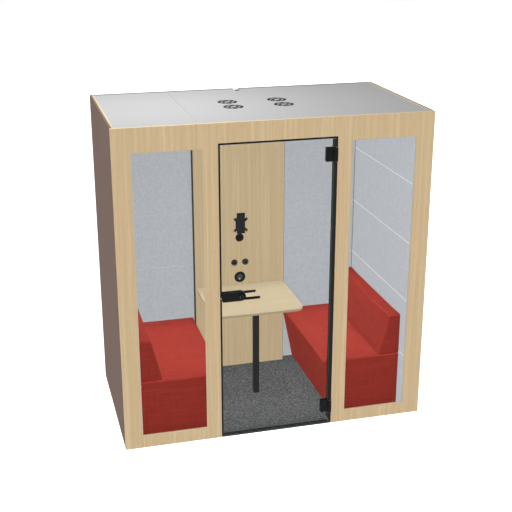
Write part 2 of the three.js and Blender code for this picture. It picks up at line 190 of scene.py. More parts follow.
def laminate(name, c, rough=0.55, grit=0.02):
    m = Mat(name, rough, specular=0.35)
    a = m.noise(m.vec((1, 1, 1)), 3.0, 3, 0.6)
    b = m.noise(m.vec((1, 1, 1)), 900, 2, 0.6)
    base = m.mix(m.range(a, 0.3, 0.7), shade(c, 1 - grit), shade(c, 1 + grit))
    base = m.mix(m.range(b, 0.35, 0.7, 0, 0.5), base, shade(c, 1 - 3 * grit))
    m.colour(base)
    m.rough(m.range(b, 0.3, 0.7, rough - 0.05, rough + 0.08))
    m.bump(b, 0.08, 0.0003)
    return m.m


def felt(name, c):
    m = Mat(name, 0.95, specular=0.15)
    o = m.vec((1, 1, 1))
    mott = m.noise(o, 55, 3, 0.6)
    fib = m.noise(o, 420, 4, 0.7, 1.6)
    tiny = m.noise(o, 1600, 2, 0.6)
    base = m.mix(m.range(mott, 0.32, 0.68), shade(c, 0.9), shade(c, 1.08))
    base = m.mix(m.range(fib, 0.45, 0.72, 0, 0.75), base, shade(c, 1.16))
    base = m.mix(m.range(fib, 0.46, 0.28, 0, 0.6), base, shade(c, 0.8))
    m.colour(base)
    m.p.inputs["Sheen Weight"].default_value = 0.15
    m.p.inputs["Sheen Roughness"].default_value = 0.6
    m.bump(m.math("ADD", fib, tiny), 0.35, 0.0008)
    return m.m


def fabric(name, c):
    """Plain woven upholstery: thread crossings from the box-mapped UVs in metres."""
    m = Mat(name, 0.88, specular=0.2)
    u = m.vec((1, 1, 1), "UV")
    wx, wy = m.wave(u, 150, "X", 0.6), m.wave(u, 150, "Y", 0.6)
    weave = m.math("MULTIPLY", wx, wy)
    o = m.vec((1, 1, 1))
    heather = m.noise(m.vec((1, 1, 0.35)), 240, 3, 0.7)
    slub = m.noise(m.vec((0.2, 1, 1)), 170, 3, 0.65)
    cloud = m.noise(o, 5, 3, 0.55)
    warp, weft = m.noise(m.vec((62, 5, 1), "UV"), 1, 2, 0.6), m.noise(m.vec((5, 62, 1), "UV"), 1, 2, 0.6)
    base = m.mix(m.range(cloud, 0.3, 0.7), shade(c, 0.955), shade(c, 1.045))
    base = m.mix(m.range(warp, 0.48, 0.66, 0, 0.9), base, shade(c, 0.84))
    base = m.mix(m.range(weft, 0.48, 0.66, 0, 0.9), base, shade(c, 1.15))
    # darker where the threads do not cross, where the bump runs low: painted shade in the gaps of the weave
    base = m.mix(m.range(weave, 0.0, 0.6, 0.28, 0.0), base, shade(c, 0.62))
    base = m.mix(m.range(heather, 0.5, 0.75, 0, 0.35), base, (min(1, c[0] * 1.22), c[1] * 1.25, c[2] * 1.2, 1))
    base = m.mix(m.range(slub, 0.52, 0.78, 0, 0.35), base, shade(c, 0.72))
    m.colour(base)
    m.p.inputs["Sheen Weight"].default_value = 0.06
    m.p.inputs["Sheen Roughness"].default_value = 0.5
    m.p.inputs["Sheen Tint"].default_value = (1, 0.6, 0.55, 1)
    m.rough(m.range(heather, 0.2, 0.8, 0.8, 0.96))
    m.bump(m.math("ADD", weave, m.math("MULTIPLY", slub, 0.5)), 0.3, 0.0006)
    return m.m


def carpet_mat(name, c):
    m = Mat(name, 0.97, specular=0.1)
    o = m.vec((1, 1, 1))
    loops = m.voronoi(o, 120, "Distance")
    tint = m.voronoi(o, 120, "Color")
    sep = m.t.nodes.new("ShaderNodeSeparateColor")
    m.link(tint, sep.inputs[0])
    clump = m.noise(o, 75, 3, 0.8)
    fleck = m.noise(o, 62, 2, 0.6)
    base = m.mix(m.range(sep.outputs[0], 0.0, 1.0), shade(c, 0.42), shade(c, 1.85))
    base = m.mix(m.range(clump, 0.35, 0.7, 0, 0.6), base, shade(c, 1.5))
    base = m.mix(m.range(fleck, 0.56, 0.68, 0, 0.75), base, shade(c, 2.1))
    base = m.mix(m.range(fleck, 0.44, 0.32, 0, 0.7), base, shade(c, 0.5))
    # darker towards the rim of each pile loop, where the bump runs low: painted shade between the loops
    base = m.mix(m.range(loops, 0.35, 0.75, 0.0, 0.7), base, shade(c, 0.42))
    m.colour(base)
    m.bump(m.range(loops, 0.0, 0.7, 1.0, 0.0), 0.8, 0.002)
    return m.m


def coat(name, c, rough=0.45, metallic=0.0, grain=1400, strength=0.12, specular=0.5):
    """Powder coat, moulded plastic or rubber, by its grain and gloss."""
    m = Mat(name, rough, metallic, specular)
    o = m.vec((1, 1, 1))
    g = m.noise(o, grain, 2, 0.55)
    w = m.noise(o, 24, 3, 0.6)
    base = m.mix(m.range(w, 0.3, 0.7), shade(c, 0.9), shade(c, 1.12))
    base = m.mix(m.range(g, 0.4, 0.75, 0, 0.4), base, shade(c, 1.35))
    m.colour(base)
    m.rough(m.range(g, 0.25, 0.75, rough - 0.07, rough + 0.09))
    m.bump(g, strength, 0.0004)
    return m.m


def brushed(name, c, rough=0.3, axis="X"):
    m = Mat(name, rough, 1.0)
    s = {"X": (20, 900, 900), "Z": (900, 900, 20), "Y": (900, 20, 900)}[axis]
    g = m.noise(m.vec(s), 1, 3, 0.6)
    m.colour(m.mix(m.range(g, 0.3, 0.7), shade(c, 0.85), shade(c, 1.1)))
    m.rough(m.range(g, 0.2, 0.8, rough - 0.06, rough + 0.1))
    m.bump(g, 0.06, 0.0002)
    return m.m


def seal_mat(name, c, body):
    """A translucent solid: a milky body that lets part of the light through."""
    m = Mat(name, 0.4)
    g = m.noise(m.vec((1, 1, 1)), 160, 2, 0.5)
    m.colour(m.mix(m.range(g, 0.3, 0.7), shade(c, 0.94), shade(c, 1.05)))
    m.bump(g, 0.1, 0.0003)
    clear = m.t.nodes.new("ShaderNodeBsdfTransparent")
    mx = m.t.nodes.new("ShaderNodeMixShader")
    mx.inputs[0].default_value = body
    m.link(clear.outputs[0], mx.inputs[1])
    m.link(m.p.outputs[0], mx.inputs[2])
    m.link(mx.outputs[0], m.out.inputs[0])
    return m.m


def glass_mat(name):
    """Clear float glass: see-through, with a mirror share that grows at the edge of view and a faint green body."""
    m = Mat(name, 0.02)
    m.t.nodes.remove(m.p)
    clear = m.t.nodes.new("ShaderNodeBsdfTransparent")
    clear.inputs[0].default_value = (0.985, 0.993, 0.99, 1)
    gloss = m.t.nodes.new("ShaderNodeBsdfGlossy")
    gloss.inputs["Color"].default_value = (0.9, 0.95, 0.95, 1)
    smear = m.noise(m.vec((1, 1, 1)), 3, 3, 0.6)
    m.link(m.range(smear, 0.3, 0.7, 0.015, 0.05), gloss.inputs["Roughness"])
    lw = m.t.nodes.new("ShaderNodeLayerWeight")
    lw.inputs[0].default_value = 0.5
    edge = m.math("POWER", lw.outputs["Facing"], 5.0)
    mx = m.t.nodes.new("ShaderNodeMixShader")
    m.link(m.range(edge, 0.0, 1.0, 0.0, 0.5), mx.inputs[0])
    m.link(clear.outputs[0], mx.inputs[1])
    m.link(gloss.outputs[0], mx.inputs[2])
    m.link(mx.outputs[0], m.out.inputs[0])
    return m.m


C_WOOD = srgb(236, 211, 171)
M = {
    "wood": wood("front_veneer", C_WOOD, tone=2.2),
    "panel": wood("panel_veneer", srgb(234, 210, 172), tone=1.8),
    "table": wood("table_veneer", srgb(194, 179, 151), "X", 0.45, 0.7),
    "edge": wood("edge_timber", srgb(226, 210, 182), "Z", 0.6, 0.7),
    "taupe": laminate("taupe_laminate", srgb(121, 101, 92), 0.8, 0.02),
    "roof": laminate("roof_laminate", srgb(178, 178, 178), 0.42, 0.008),
    "ceiling": laminate("ceiling_board", srgb(230, 230, 228), 0.85, 0.015),
    "felt": felt("grey_felt", srgb(209, 211, 217)),
    "joint": laminate("joint_profile", srgb(250, 250, 249), 0.5, 0.01),
    "joint_rear": laminate("joint_profile_rear", srgb(224, 226, 229), 0.5, 0.01),
    "mount": coat("mount_powder_coat", srgb(46, 48, 50), 0.6, 0.0, 1400, 0.12, 0.2),
    "leg": coat("leg_powder_coat", srgb(50, 49, 48), 0.6, 0.0, 1400, 0.12, 0.2),
    "core": laminate("wall_core", srgb(205, 190, 158), 0.9, 0.05),
    "carpet": carpet_mat("carpet_pile", srgb(92, 92, 92)),
    "deck": coat("deck_board", srgb(30, 31, 32), 0.6),
    "red": fabric("red_upholstery", srgb(164, 57, 48)),
    "thread": coat("seam_thread", srgb(136, 40, 32), 0.8, 0, 3000, 0.3, 0.2),
    "black": coat("black_metal", srgb(20, 21, 22), 0.5, 0.0, 1400, 0.12, 0.2),
    "frame": coat("frame_metal", srgb(43, 44, 45), 0.8, 0.0, 1400, 0.12, 0.1),
    "plastic": coat("black_plastic", srgb(34, 35, 37), 0.5, 0.0, 900, 0.2, 0.2),
    "rubber": coat("seal_rubber", srgb(22, 23, 24), 0.8, 0.0, 700, 0.25, 0.3),
    "foot": coat("foot_plastic", srgb(26, 27, 28), 0.6, 0.0, 700, 0.2),
    "steel": brushed("latch_steel", srgb(176, 178, 180)),
    "glass": glass_mat("clear_glass"),
    "cup": laminate("socket_cup", srgb(84, 87, 97), 0.4, 0.01),
    # flat light grey without metal sheen: the contacts' tin, with their glint painted into the colour
    "contact": laminate("tinned_contact_painted_glint", srgb(214, 216, 220), 0.35, 0.01),
    "seal": seal_mat("silicone_seal", srgb(176, 178, 180), 0.3),
    "glass_edge": seal_mat("glass_edge", srgb(58, 88, 78), 0.7),
    "bolt": brushed("latch_bolt_steel", srgb(92, 94, 96), 0.45),
}
led = Mat("light_diffuser", 0.5)
_pr = led.voronoi(led.vec((1, 1, 1)), 260, "Distance")
led.colour(led.mix(led.range(_pr, 0, 0.7), srgb(250, 249, 244), srgb(232, 231, 226)))
led.bump(_pr, 0.4, 0.001)
led.p.inputs["Emission Color"].default_value = (1.0, 0.97, 0.92, 1)
led.p.inputs["Emission Strength"].default_value = 1.4
M["led"] = led.m

BY_SLOT = {"deck_board": "deck", "carpet_pile": "carpet", "foot_plastic": "foot", "taupe_laminate": "taupe", "wall_core": "core",
           "grey_felt": "felt", "panel_veneer": "panel", "front_veneer": "wood", "clear_glass": "glass", "roof_laminate": "roof",
           "ceiling_board": "ceiling", "light_diffuser": "led", "black_plastic": "plastic", "frame_metal": "frame", "black_metal": "black",
           "latch_steel": "steel", "seal_rubber": "rubber", "red_upholstery": "red", "table_veneer": "table"}
SLOT_OF = {s["node"]: s["material_slot"] for s in frame["record"]["subparts"]}
for name, o in N.items():
    o.data.materials.clear()
    o.data.materials.append(M[BY_SLOT[SLOT_OF[name]]])


# ------------------------------------------------------------------ mesh helpers
def piece(name, bm, mat, body="pod", smooth=None):
    me = bpy.data.meshes.new(name)
    bmesh.ops.recalc_face_normals(bm, faces=bm.faces)
    bm.to_mesh(me)
    bm.free()
    ob = bpy.data.objects.new(name, me)
    scene.collection.objects.link(ob)
    me.materials.append(M[mat])
    if smooth is not None:
        smooth_by_angle(ob, smooth)
    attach(ob, body)
    return ob


def smooth_by_angle(ob, deg):
    me = ob.data
    for p in me.polygons:
        p.use_smooth = True
    bm = bmesh.new()
    bm.from_mesh(me)
    bm.edges.ensure_lookup_table()
    sharp = [len(e.link_faces) != 2 or e.calc_face_angle(0) > math.radians(deg) for e in bm.edges]
    bm.free()
    me.attributes.new("sharp_edge", "BOOLEAN", "EDGE") if "sharp_edge" not in me.attributes else None
    me.attributes["sharp_edge"].data.foreach_set("value", sharp)


def add_box(bm, x0, x1, y0, y1, z0, z1):
    a, b = P(x0, y0, z0), P(x1, y1, z1)
    v = [bm.verts.new((x, y, z)) for z in (a.z, b.z) for y in (a.y, b.y) for x in (a.x, b.x)]
    for f in ((0, 2, 3, 1), (4, 5, 7, 6), (0, 1, 5, 4), (2, 6, 7, 3), (0, 4, 6, 2), (1, 3, 7, 5)):
        bm.faces.new([v[i] for i in f])
    return v


def bevelled(bm, width, segs=2):
    bmesh.ops.bevel(bm, geom=bm.edges[:], offset=width / 1000, segments=segs, profile=0.6, affect="EDGES")
    return bm


def add_lathe(bm, prof, centre, axis="Y", segs=48, sign=1):
    """Closed profile of (radius, height) in mm turned about an axis through centre (mm). Height runs along +axis times sign."""
    rings = []
    for r, h in prof:
        ring = []
        for k in range(1 if r < 1e-6 else segs):
            a = 2 * math.pi * k / segs
            if axis == "Y":
                p = P(centre[0] + r * math.cos(a), centre[1] + sign * h, centre[2] + r * math.sin(a))
            elif axis == "Z":
                p = P(centre[0] + r * math.cos(a), centre[1] + r * math.sin(a), centre[2] + sign * h)
            else:
                p = P(centre[0] + sign * h, centre[1] + r * math.cos(a), centre[2] + r * math.sin(a))
            ring.append(bm.verts.new(p))
        rings.append(ring)
    closed = prof[0][0] > 1e-6
    for i in range(len(rings) if closed else len(rings) - 1):
        a, b = rings[i], rings[(i + 1) % len(rings)]
        n = max(len(a), len(b))
        for k in range(n):
            q = [a[k % len(a)], a[(k + 1) % len(a)], b[(k + 1) % len(b)], b[k % len(b)]]
            q = list(dict.fromkeys(q))
            if len(q) > 2:
                bm.faces.new(q)


def add_tube(bm, pts, radii, segs=20):
    """Round bar through points in mm, with one radius each, closed at both ends."""
    pts = [P(*p) for p in pts]
    rings, ref = [], None
    for i, p in enumerate(pts):
        t = (pts[min(i + 1, len(pts) - 1)] - pts[max(i - 1, 0)]).normalized()
        if ref is None:
            ref = t.orthogonal().normalized()
        ref = (ref - t * ref.dot(t)).normalized()
        s = t.cross(ref)
        r = radii[i] / 1000
        rings.append([bm.verts.new(p + (ref * math.cos(2 * math.pi * k / segs) + s * math.sin(2 * math.pi * k / segs)) * r) for k in range(segs)])
    for a, b in zip(rings, rings[1:]):
        for k in range(segs):
            bm.faces.new((a[k], a[(k + 1) % segs], b[(k + 1) % segs], b[k]))
    bm.faces.new(rings[0])
    bm.faces.new(rings[-1])


def soften(node, width=1.0, segs=2, angle=35):
    """Small worn-in edge radius on a CAD node."""
    o = N[node]
    m = o.modifiers.new("edge", "BEVEL")
    m.width, m.segments, m.limit_method, m.angle_limit = width / 1000, segs, "ANGLE", math.radians(angle)
    m.harden_normals = True
    m.use_clamp_overlap = True
    smooth_by_angle(o, angle)


# the latch bolt takes a darker steel: painted shade where it crosses the gap between lock case and jamb
N["latch_bolt"].data.materials[0] = M["bolt"]
# the left jamb and the door head take the darker black instead of the frame finish: painted shade of the gap along
# these door edges
N["door_jamb_left"].data.materials[0] = N["door_head"].data.materials[0] = M["black"]
N["table_leg"].data.materials[0] = M["leg"]
N["monitor_head"].data.materials[0] = N["monitor_wall_plate"].data.materials[0] = M["mount"]

# the polished edges of the door pane show the green body of the glass
dg = N["door_glass"].data
dg.materials.append(M["glass_edge"])
for f in dg.polygons:
    if abs(f.normal.y) < 0.5:
        f.material_index = 1

# the stop strip behind the top edge of the door is a translucent seal
dh = N["door_head"].data
dh.materials.append(M["seal"])
for f in dh.polygons:
    if 22.3 < f.center.y * 1000 + Y0 < 32.7 and f.center.z < 2.1478:
        f.material_index = 1

# the cut faces of the ventilation slots carry the black liner
rc = N["roof_panel_centre"].data
rc.materials.append(M["rubber"])
for f in rc.polygons:
    c = f.center
    near = min(math.hypot(c.x - sx * 0.182, c.y - (605 + dy - Y0) / 1000) for sx in (-1, 1) for dy in (-92, 92))
    if near < 0.078 and abs(f.normal.z) < 0.3:
        f.material_index = 1


# ------------------------------------------------------------------ benches
SEAT = [(371, 455), (458, 17), (970, 17), (970, 455)]
BACK = [(802, 456), (879, 757), (970, 757), (970, 456)]
BY = (102.5, 1162)


def box_uv(me):
    uv = me.uv_layers.new(name="weave")
    for p in me.polygons:
        n = p.normal
        k = max(range(3), key=lambda i: abs(n[i]))
        i, j = [(1, 2), (0, 2), (0, 1)][k]
        for li in p.loop_indices:
            c = me.vertices[me.loops[li].vertex_index].co
            uv.data[li].uv = (c[i], c[j])


def remeshed(ob, voxel):
    """The object's form as an even skin of small quads."""
    rm = ob.modifiers.new("remesh", "REMESH")
    rm.mode, rm.voxel_size = "VOXEL", voxel
    me = bpy.data.meshes.new_from_object(ob.evaluated_get(bpy.context.evaluated_depsgraph_get()))
    ob.modifiers.clear()
    return me


def swelling(base, name):
    """How far a cover over this form bulges under the pressure of its filling: a search tree and the moves."""
    ob = bpy.data.objects.new(name, remeshed(base, 0.021))
    scene.collection.objects.link(ob)
    rest = [v.co.copy() for v in ob.data.vertices]
    cl = ob.modifiers.new("cloth", "CLOTH")
    st = cl.settings
    st.quality = 5
    st.mass = 0.4
    st.tension_stiffness = st.compression_stiffness = 25
    st.shear_stiffness = 8
    st.bending_stiffness = 2.0
    st.use_pressure = True
    st.uniform_pressure_force = 4.0
    st.effector_weights.gravity = 0
    cl.point_cache.frame_start, cl.point_cache.frame_end = 1, 14
    for f in range(1, 15):
        scene.frame_set(f)
    ev = ob.evaluated_get(bpy.context.evaluated_depsgraph_get())
    sim = [v.co.copy() for v in ev.data.vertices]
    bpy.data.objects.remove(ob)
    scene.frame_set(1)
    tree = KDTree(len(rest))
    for i, c in enumerate(rest):
        tree.insert(c, i)
    tree.balance()
    return tree, [b - a for a, b in zip(rest, sim)]


def cushion(name, poly, s, node, crown, inset, rise):
    """A firm upholstered block: crisp sewn edges, and faces swollen a little by cloth under pressure."""
    cx, cz = sum(p[0] for p in poly) / 4, sum(p[1] for p in poly) / 4
    bm = bmesh.new()
    ends = []
    for y in (BY[0] + inset, BY[1] - inset):
        ends.append([bm.verts.new(P(s * (x - math.copysign(inset, x - cx)), y, z - math.copysign(inset, z - cz))) for x, z in poly])
    bm.faces.new(ends[0]); bm.faces.new(ends[1])
    for k in range(4):
        bm.faces.new((ends[0][k], ends[0][(k + 1) % 4], ends[1][(k + 1) % 4], ends[1][k]))
    bmesh.ops.recalc_face_normals(bm, faces=bm.faces)
    far = max(abs(v.co.x) for v in bm.verts) - 0.002
    seams = [e for e in bm.edges if min(abs(v.co.x) for v in e.verts) < far]      # not along the wall
    bmesh.ops.bevel(bm, geom=seams, offset=0.005, segments=3, profile=0.5, affect="EDGES")
    me = bpy.data.meshes.new(name)
    bm.to_mesh(me)
    bm.free()
    ob = bpy.data.objects.new(name, me)
    scene.collection.objects.link(ob)
    swell = swelling(ob, name + "_swell")
    fin = remeshed(ob, 0.007)
    ob.data = fin
    if swell:
        tree, moves = swell
        nrm = [v.normal.copy() for v in fin.vertices]
        for v, n in zip(fin.vertices, nrm):
            d, w = Vector((0, 0, 0)), 0.0
            for _, i, dist in tree.find_n(v.co, 14):
                k = 1 / (dist + 0.012)
                d += moves[i] * k
                w += k
            d /= w
            cap = crown
            if n.y < -0.6:
                cap = min(crown, 1.6)          # the sewn-in end panel is held flat by its four seams
            if n.z < -0.6 or n.x * s > 0.6 or n.y > 0.6:
                cap = min(crown, 0.8)          # it rests on the floor, the wall or the other block here
            if n.z > 0.6 and v.co.x * s > 0.79 and v.co.z < 0.5:
                cap = 0.3                      # the back block stands on the seat here
            cap /= 1000
            if d.length > 1e-7:
                v.co += d * (cap * math.tanh(0.7 * d.length / cap) / d.length)
    z0, z1, up, foot = rise                # the wadding under the cover lifts the top, but not under the back block
    for v in fin.vertices:
        t = min(1, max(0, (v.co.z * 1000 - z0) / (z1 - z0)))
        w = 1 - min(1, max(0, (v.co.x * s * 1000 - foot + 34) / 30))
        v.co.z += up / 1000 * t * t * (3 - 2 * t) * w * w * (3 - 2 * w)
    sm = ob.modifiers.new("smooth", "SMOOTH")
    sm.factor, sm.iterations = 0.5, 1
    fin = bpy.data.meshes.new_from_object(ob.evaluated_get(bpy.context.evaluated_depsgraph_get()))
    ob.modifiers.clear()
    ob.data = fin
    fin.name = name
    box_uv(fin)
    for p in fin.polygons:
        p.use_smooth = True
    fin.materials.clear()
    fin.materials.append(M["red"])
    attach(ob, "pod")
    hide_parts(node)
    return ob


def stitches(name, ob, lines, pitch=7.0, length=4.6):
    """Rows of sewn stitches that follow the cover's real surface."""
    tree = BVHTree.FromObject(ob, bpy.context.evaluated_depsgraph_get())
    bm = bmesh.new()
    for a, b in lines:
        a, b = P(*a), P(*b)
        n = int((b - a).length * 1000 / pitch)
        t = (b - a).normalized()
        for k in range(n):
            p = a + t * ((k + 0.5) * pitch / 1000)
            q, nm, _, d = tree.find_nearest(p)
            if q is None or d > 0.03:
                continue
            u = (t - nm * t.dot(nm)).normalized()
            w = nm.cross(u)
            ring = []
            for f, h in ((-0.5, -0.1), (-0.28, 0.55), (0.28, 0.55), (0.5, -0.1)):
                for g in (-0.6, 0.6):
                    ring.append(bm.verts.new(q + u * (f * length / 1000) + w * (g / 1000) + nm * (h / 1000)))
            for i in range(0, 6, 2):
                bm.faces.new((ring[i], ring[i + 1], ring[i + 3], ring[i + 2]))
    return piece(name, bm, "thread", "pod")


for side, s in (("left", -1), ("right", 1)):
    seat = cushion(f"seat_cover_{side}", SEAT, s, f"bench_seat_{side}", 5.0, 0.8, (395, 455, 5.0, 802))
    bk = cushion(f"back_cover_{side}", BACK, s, f"bench_back_{side}", 4.0, 0.8, (500, 757, 9.0, 2000))
    e = 14
    stitches(f"seat_stitching_{side}", seat, [
        ((s * (370 + e), 112, 470), (s * (370 + e), 1152, 470)),
        ((s * 380, 104 + e, 470), (s * 955, 104 + e, 470)),
        ((s * 366, 112, 455 - e), (s * 366, 1152, 455 - e)),
        ((s * 380, 100, 455 - e), (s * 955, 100, 455 - e))])
    stitches(f"back_stitching_{side}", bk, [
        ((s * (878 + e), 112, 765), (s * (878 + e), 1152, 765)),
        ((s * 888, 104 + e, 765), (s * 955, 104 + e, 765)),
        ((s * 868, 112, 757 - e), (s * 868, 1152, 757 - e)),
        ((s * 888, 100, 757 - e), (s * 955, 100, 757 - e))])

# ------------------------------------------------------------------ walls: tile joints, dark corner strips and panel edges
for side, s in (("left", -1), ("right", 1)):
    bm = bmesh.new()
    for k in range(4):
        z = 467 + 436.5 * k
        add_box(bm, s * 970.8, s * 973.6, 20.5, 1163, z - 1.2, z + 1.2)
        add_box(bm, s * 970.6, s * 971.8, 20.5, 1163, z - 3.6, z + 3.6)
    piece(f"tile_joints_{side}", bm, "joint", "pod")
    bm = bmesh.new()
    for k in range(4):
        z = 467 + 436.5 * k
        x0, x1 = (-971, -366) if s < 0 else (366, 971)
        add_box(bm, x0, x1, 1164.0, 1166.6, z - 1.0, z + 1.0)
    piece(f"tile_joints_rear_{side}", bm, "joint_rear", "pod")
    # a dark strip down each rear corner: painted shadow of the gap where the side felt meets the rear felt
    bm = bmesh.new()
    add_box(bm, s * 969.2, s * 971.8, 1162.0, 1164.8, 16.4, 2211)
    piece(f"corner_shadow_strip_{side}", bevelled(bm, 0.8), "rubber", "pod")
    bm = bmesh.new()
    add_box(bm, s * 363.1, s * 365.1, 1100.2, 1164.7, 17, 2211)
    piece(f"panel_edge_{side}", bevelled(bm, 0.5), "plastic", "pod")

# black nosing over the front edge of the deck and carpet in the doorway
bm = bmesh.new()
add_box(bm, -404.5, 404.5, 0.6, 2.6, 4.4, 11.4)
piece("threshold_nosing", bevelled(bm, 0.5), "frame", "pod")
bm = bmesh.new()
add_box(bm, -404.5, 404.5, 0.6, 2.6, 11.6, 17.4)
add_box(bm, -404.5, 404.5, 0.8, 12.0, 16.2, 17.6)
piece("threshold_strip", bevelled(bm, 0.5), "bolt", "pod")

# strike plate that lines the latch recess in the left jamb
bm = bmesh.new()
add_box(bm, -409.8, -408.4, 0.8, 23.3, 1066.2, 1085.8)
add_box(bm, -408.6, -406.4, 22.2, 23.3, 1066.2, 1085.8)
piece("strike_plate", bevelled(bm, 0.3), "frame", "pod")

# glazing beads: a light line of edge timber around each fixed pane
for side, s in (("left", -1), ("right", 1)):
    bm = bmesh.new()
    for y0, y1 in ((4.2, 5.9), (16.1, 18.0)):
        add_box(bm, s * 511.1, s * 513.6, y0, y1, 92.1, 2120.9)
        add_box(bm, s * 975.4, s * 977.9, y0, y1, 92.1, 2120.9)
        add_box(bm, s * 513.6, s * 975.4, y0, y1, 92.1, 94.6)
        add_box(bm, s * 513.6, s * 975.4, y0, y1, 2118.4, 2120.9)
    piece(f"glazing_bead_{side}", bm, "edge", "pod")

# ------------------------------------------------------------------ door fittings
LX, LZ = -261, 1076


def lever(name, node, d, face, y):
    """Return-less lever: rose, neck, swept bend and straight grip with a domed end. d is the way it stands out."""
    bm = bmesh.new()
    pts, rad = [], []
    for t in (0.0, 0.3, 0.6):
        pts.append((LX, face + d * 3 + (y - d * 16 - face - d * 3) * t / 0.6, LZ)); rad.append(9.3)
    for k in range(1, 9):
        a = math.pi / 2 * k / 8
        pts.append((LX + 16 * (1 - math.cos(a)), y - d * 16 + d * 16 * math.sin(a), LZ)); rad.append(9.3)
    for x in (-220, -190, -160, -147):
        pts.append((x, y, LZ)); rad.append(9.3)
    for x, r in ((-143.5, 8.6), (-141.3, 6.8), (-140.2, 3.8)):
        pts.append((x, y, LZ)); rad.append(r)
    add_tube(bm, pts, rad, 24)
    add_lathe(bm, [(0, 0), (15.2, 0), (16, 0.8), (16, 3.2), (14.8, 4.4), (9.6, 5.0), (0, 5.0)], (LX, face, LZ), "Y", 48, d)
    ob = piece(name, bm, "black", "levers", 40)
    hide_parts(node)
    bm = bmesh.new()      # bright collar on the neck
    add_lathe(bm, [(9.4, 4.8), (11.6, 4.8), (11.6, 9.2), (10.9, 10.0), (9.4, 10.0)], (LX, face, LZ), "Y", 40, d)
    piece(name + "_collar", bm, "steel", "levers", 40)
    return ob


lever("lever_grip_outer", "lever_outer", -1, -4.5, -45)
lever("lever_grip_inner", "lever_inner", 1, 38.5, 75)
for d, face, tag in ((-1, -4.0, "outer"), (1, 38.0, "inner")):
    bm = bmesh.new()
    add_lathe(bm, [(16.6, -0.3), (19.0, -0.3), (19.0, 0.8), (18.4, 1.4), (17.2, 1.4), (16.6, 0.8)], (LX, face, LZ), "Y", 48, d)
    piece(f"rose_ring_{tag}", bm, "black", "door", 40)
    bm = bmesh.new()      # privacy turn and its slot on the inner side, emergency slot outside
    add_lathe(bm, [(0, -0.2), (9.5, -0.2), (9.5, 1.2), (8.6, 2.0), (0, 2.0)], (-325, face, LZ), "Y", 36, d)
    piece(f"cylinder_disc_{tag}", bm, "black", "door", 40)
    bm = bmesh.new()
    y0, y1 = sorted((face + d * 1.9, face + d * 2.3))
    add_box(bm, -325 - 4.5, -325 + 4.5, y0, y1, LZ - 0.9, LZ + 0.9)
    piece(f"cylinder_slot_{tag}", bm, "rubber", "door")
    bm = bmesh.new()
    for x, z in ((-382, 1053), (-382, 1099)):
        add_lathe(bm, [(0, -0.2), (3.6, -0.2), (3.6, 0.7), (3.0, 1.1), (1.5, 1.1), (1.3, 0.4), (0, 0.4)], (x, face, z), "Y", 24, d)
    piece(f"lock_screws_{tag}", bm, "black", "door", 40)

for end, z0 in (("top", 1981.5), ("bottom", 100)):
    bm = bmesh.new()
    for x, z in ((345, z0 + 20), (345, z0 + 76), (372, z0 + 20), (372, z0 + 76)):
        add_lathe(bm, [(0, 0.3), (4.2, 0.3), (4.2, -0.6), (3.5, -1.2), (1.9, -1.2), (1.7, -0.3), (0, -0.3)], (x, 2, z), "Y", 24)
        add_lathe(bm, [(0, -0.3), (4.2, -0.3), (4.2, 0.6), (3.5, 1.2), (1.9, 1.2), (1.7, 0.3), (0, 0.3)], (x, 30, z), "Y", 24)
    piece(f"hinge_screws_{end}", bm, "black", "door", 40)
    bm = bmesh.new()
    for z, d in ((z0, -1), (z0 + 96, 1)):
        add_lathe(bm, [(0, -0.3), (8.2, -0.3), (8.2, 1.2), (6.8, 2.6), (0, 3.0)], (400, -9, z), "Z", 32, d)
    piece(f"hinge_caps_{end}", bm, "steel", "pod", 40)

for n in ("lock_case", "hinge_leaf_top", "hinge_leaf_bottom"):
    soften(n, 1.6, 3)
for n in ("hinge_frame_top", "hinge_frame_bottom", "latch_bolt", "door_bottom_seal", "door_jamb_left", "door_jamb_right", "door_head",
          "monitor_wall_plate", "monitor_head", "table_leg", "power_inlet", "ceiling_light"):
    soften(n, 0.8, 2)
for n in ("table_top",):
    soften(n, 2.0, 3)
for n in ("door_glass", "window_glass_left", "window_glass_right"):
    soften(n, 0.8, 1)
for n in ("outer_panel_left", "outer_panel_right", "outer_panel_rear", "roof_panel_left", "roof_panel_right"):
    soften(n, 1.0, 2)

# ------------------------------------------------------------------ fittings on the wood panel
bm = bmesh.new()
add_lathe(bm, [(24, 19), (24, -2.4), (25.4, -3.4), (31.5, -3.4), (33.4, -1.6), (33.5, -0.3), (29.6, -0.3), (29.4, 19)], (0, 1100, 1122), "Y", 64)
# a black disc shuts the bore behind the brush: painted shade in the depth of the bore
add_lathe(bm, [(0, 15.5), (24.6, 15.5), (24.6, 18), (0, 18)], (0, 1100, 1122), "Y", 48)
for k in range(18):        # brush fingers that close the bore around the cables
    a = 2 * math.pi * k / 18
    c, q = math.cos(a), math.sin(a)
    for h0, h1 in ((2, 3.2),):
        v = [bm.verts.new(P(r * c - w * q, 1100 + h, 1122 + r * q + w * c)) for h in (h0, h1) for r, w in ((24.2, -3.6), (24.2, 3.6), (10.5, 1.2), (10.5, -1.2))]
        for f in ((0, 1, 2, 3), (7, 6, 5, 4), (0, 4, 5, 1), (1, 5, 6, 2), (2, 6, 7, 3), (3, 7, 4, 0)):
            bm.faces.new([v[i] for i in f])
g = piece("cable_outlet_ring", bm, "plastic", "pod", 40)
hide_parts("cable_grommet")

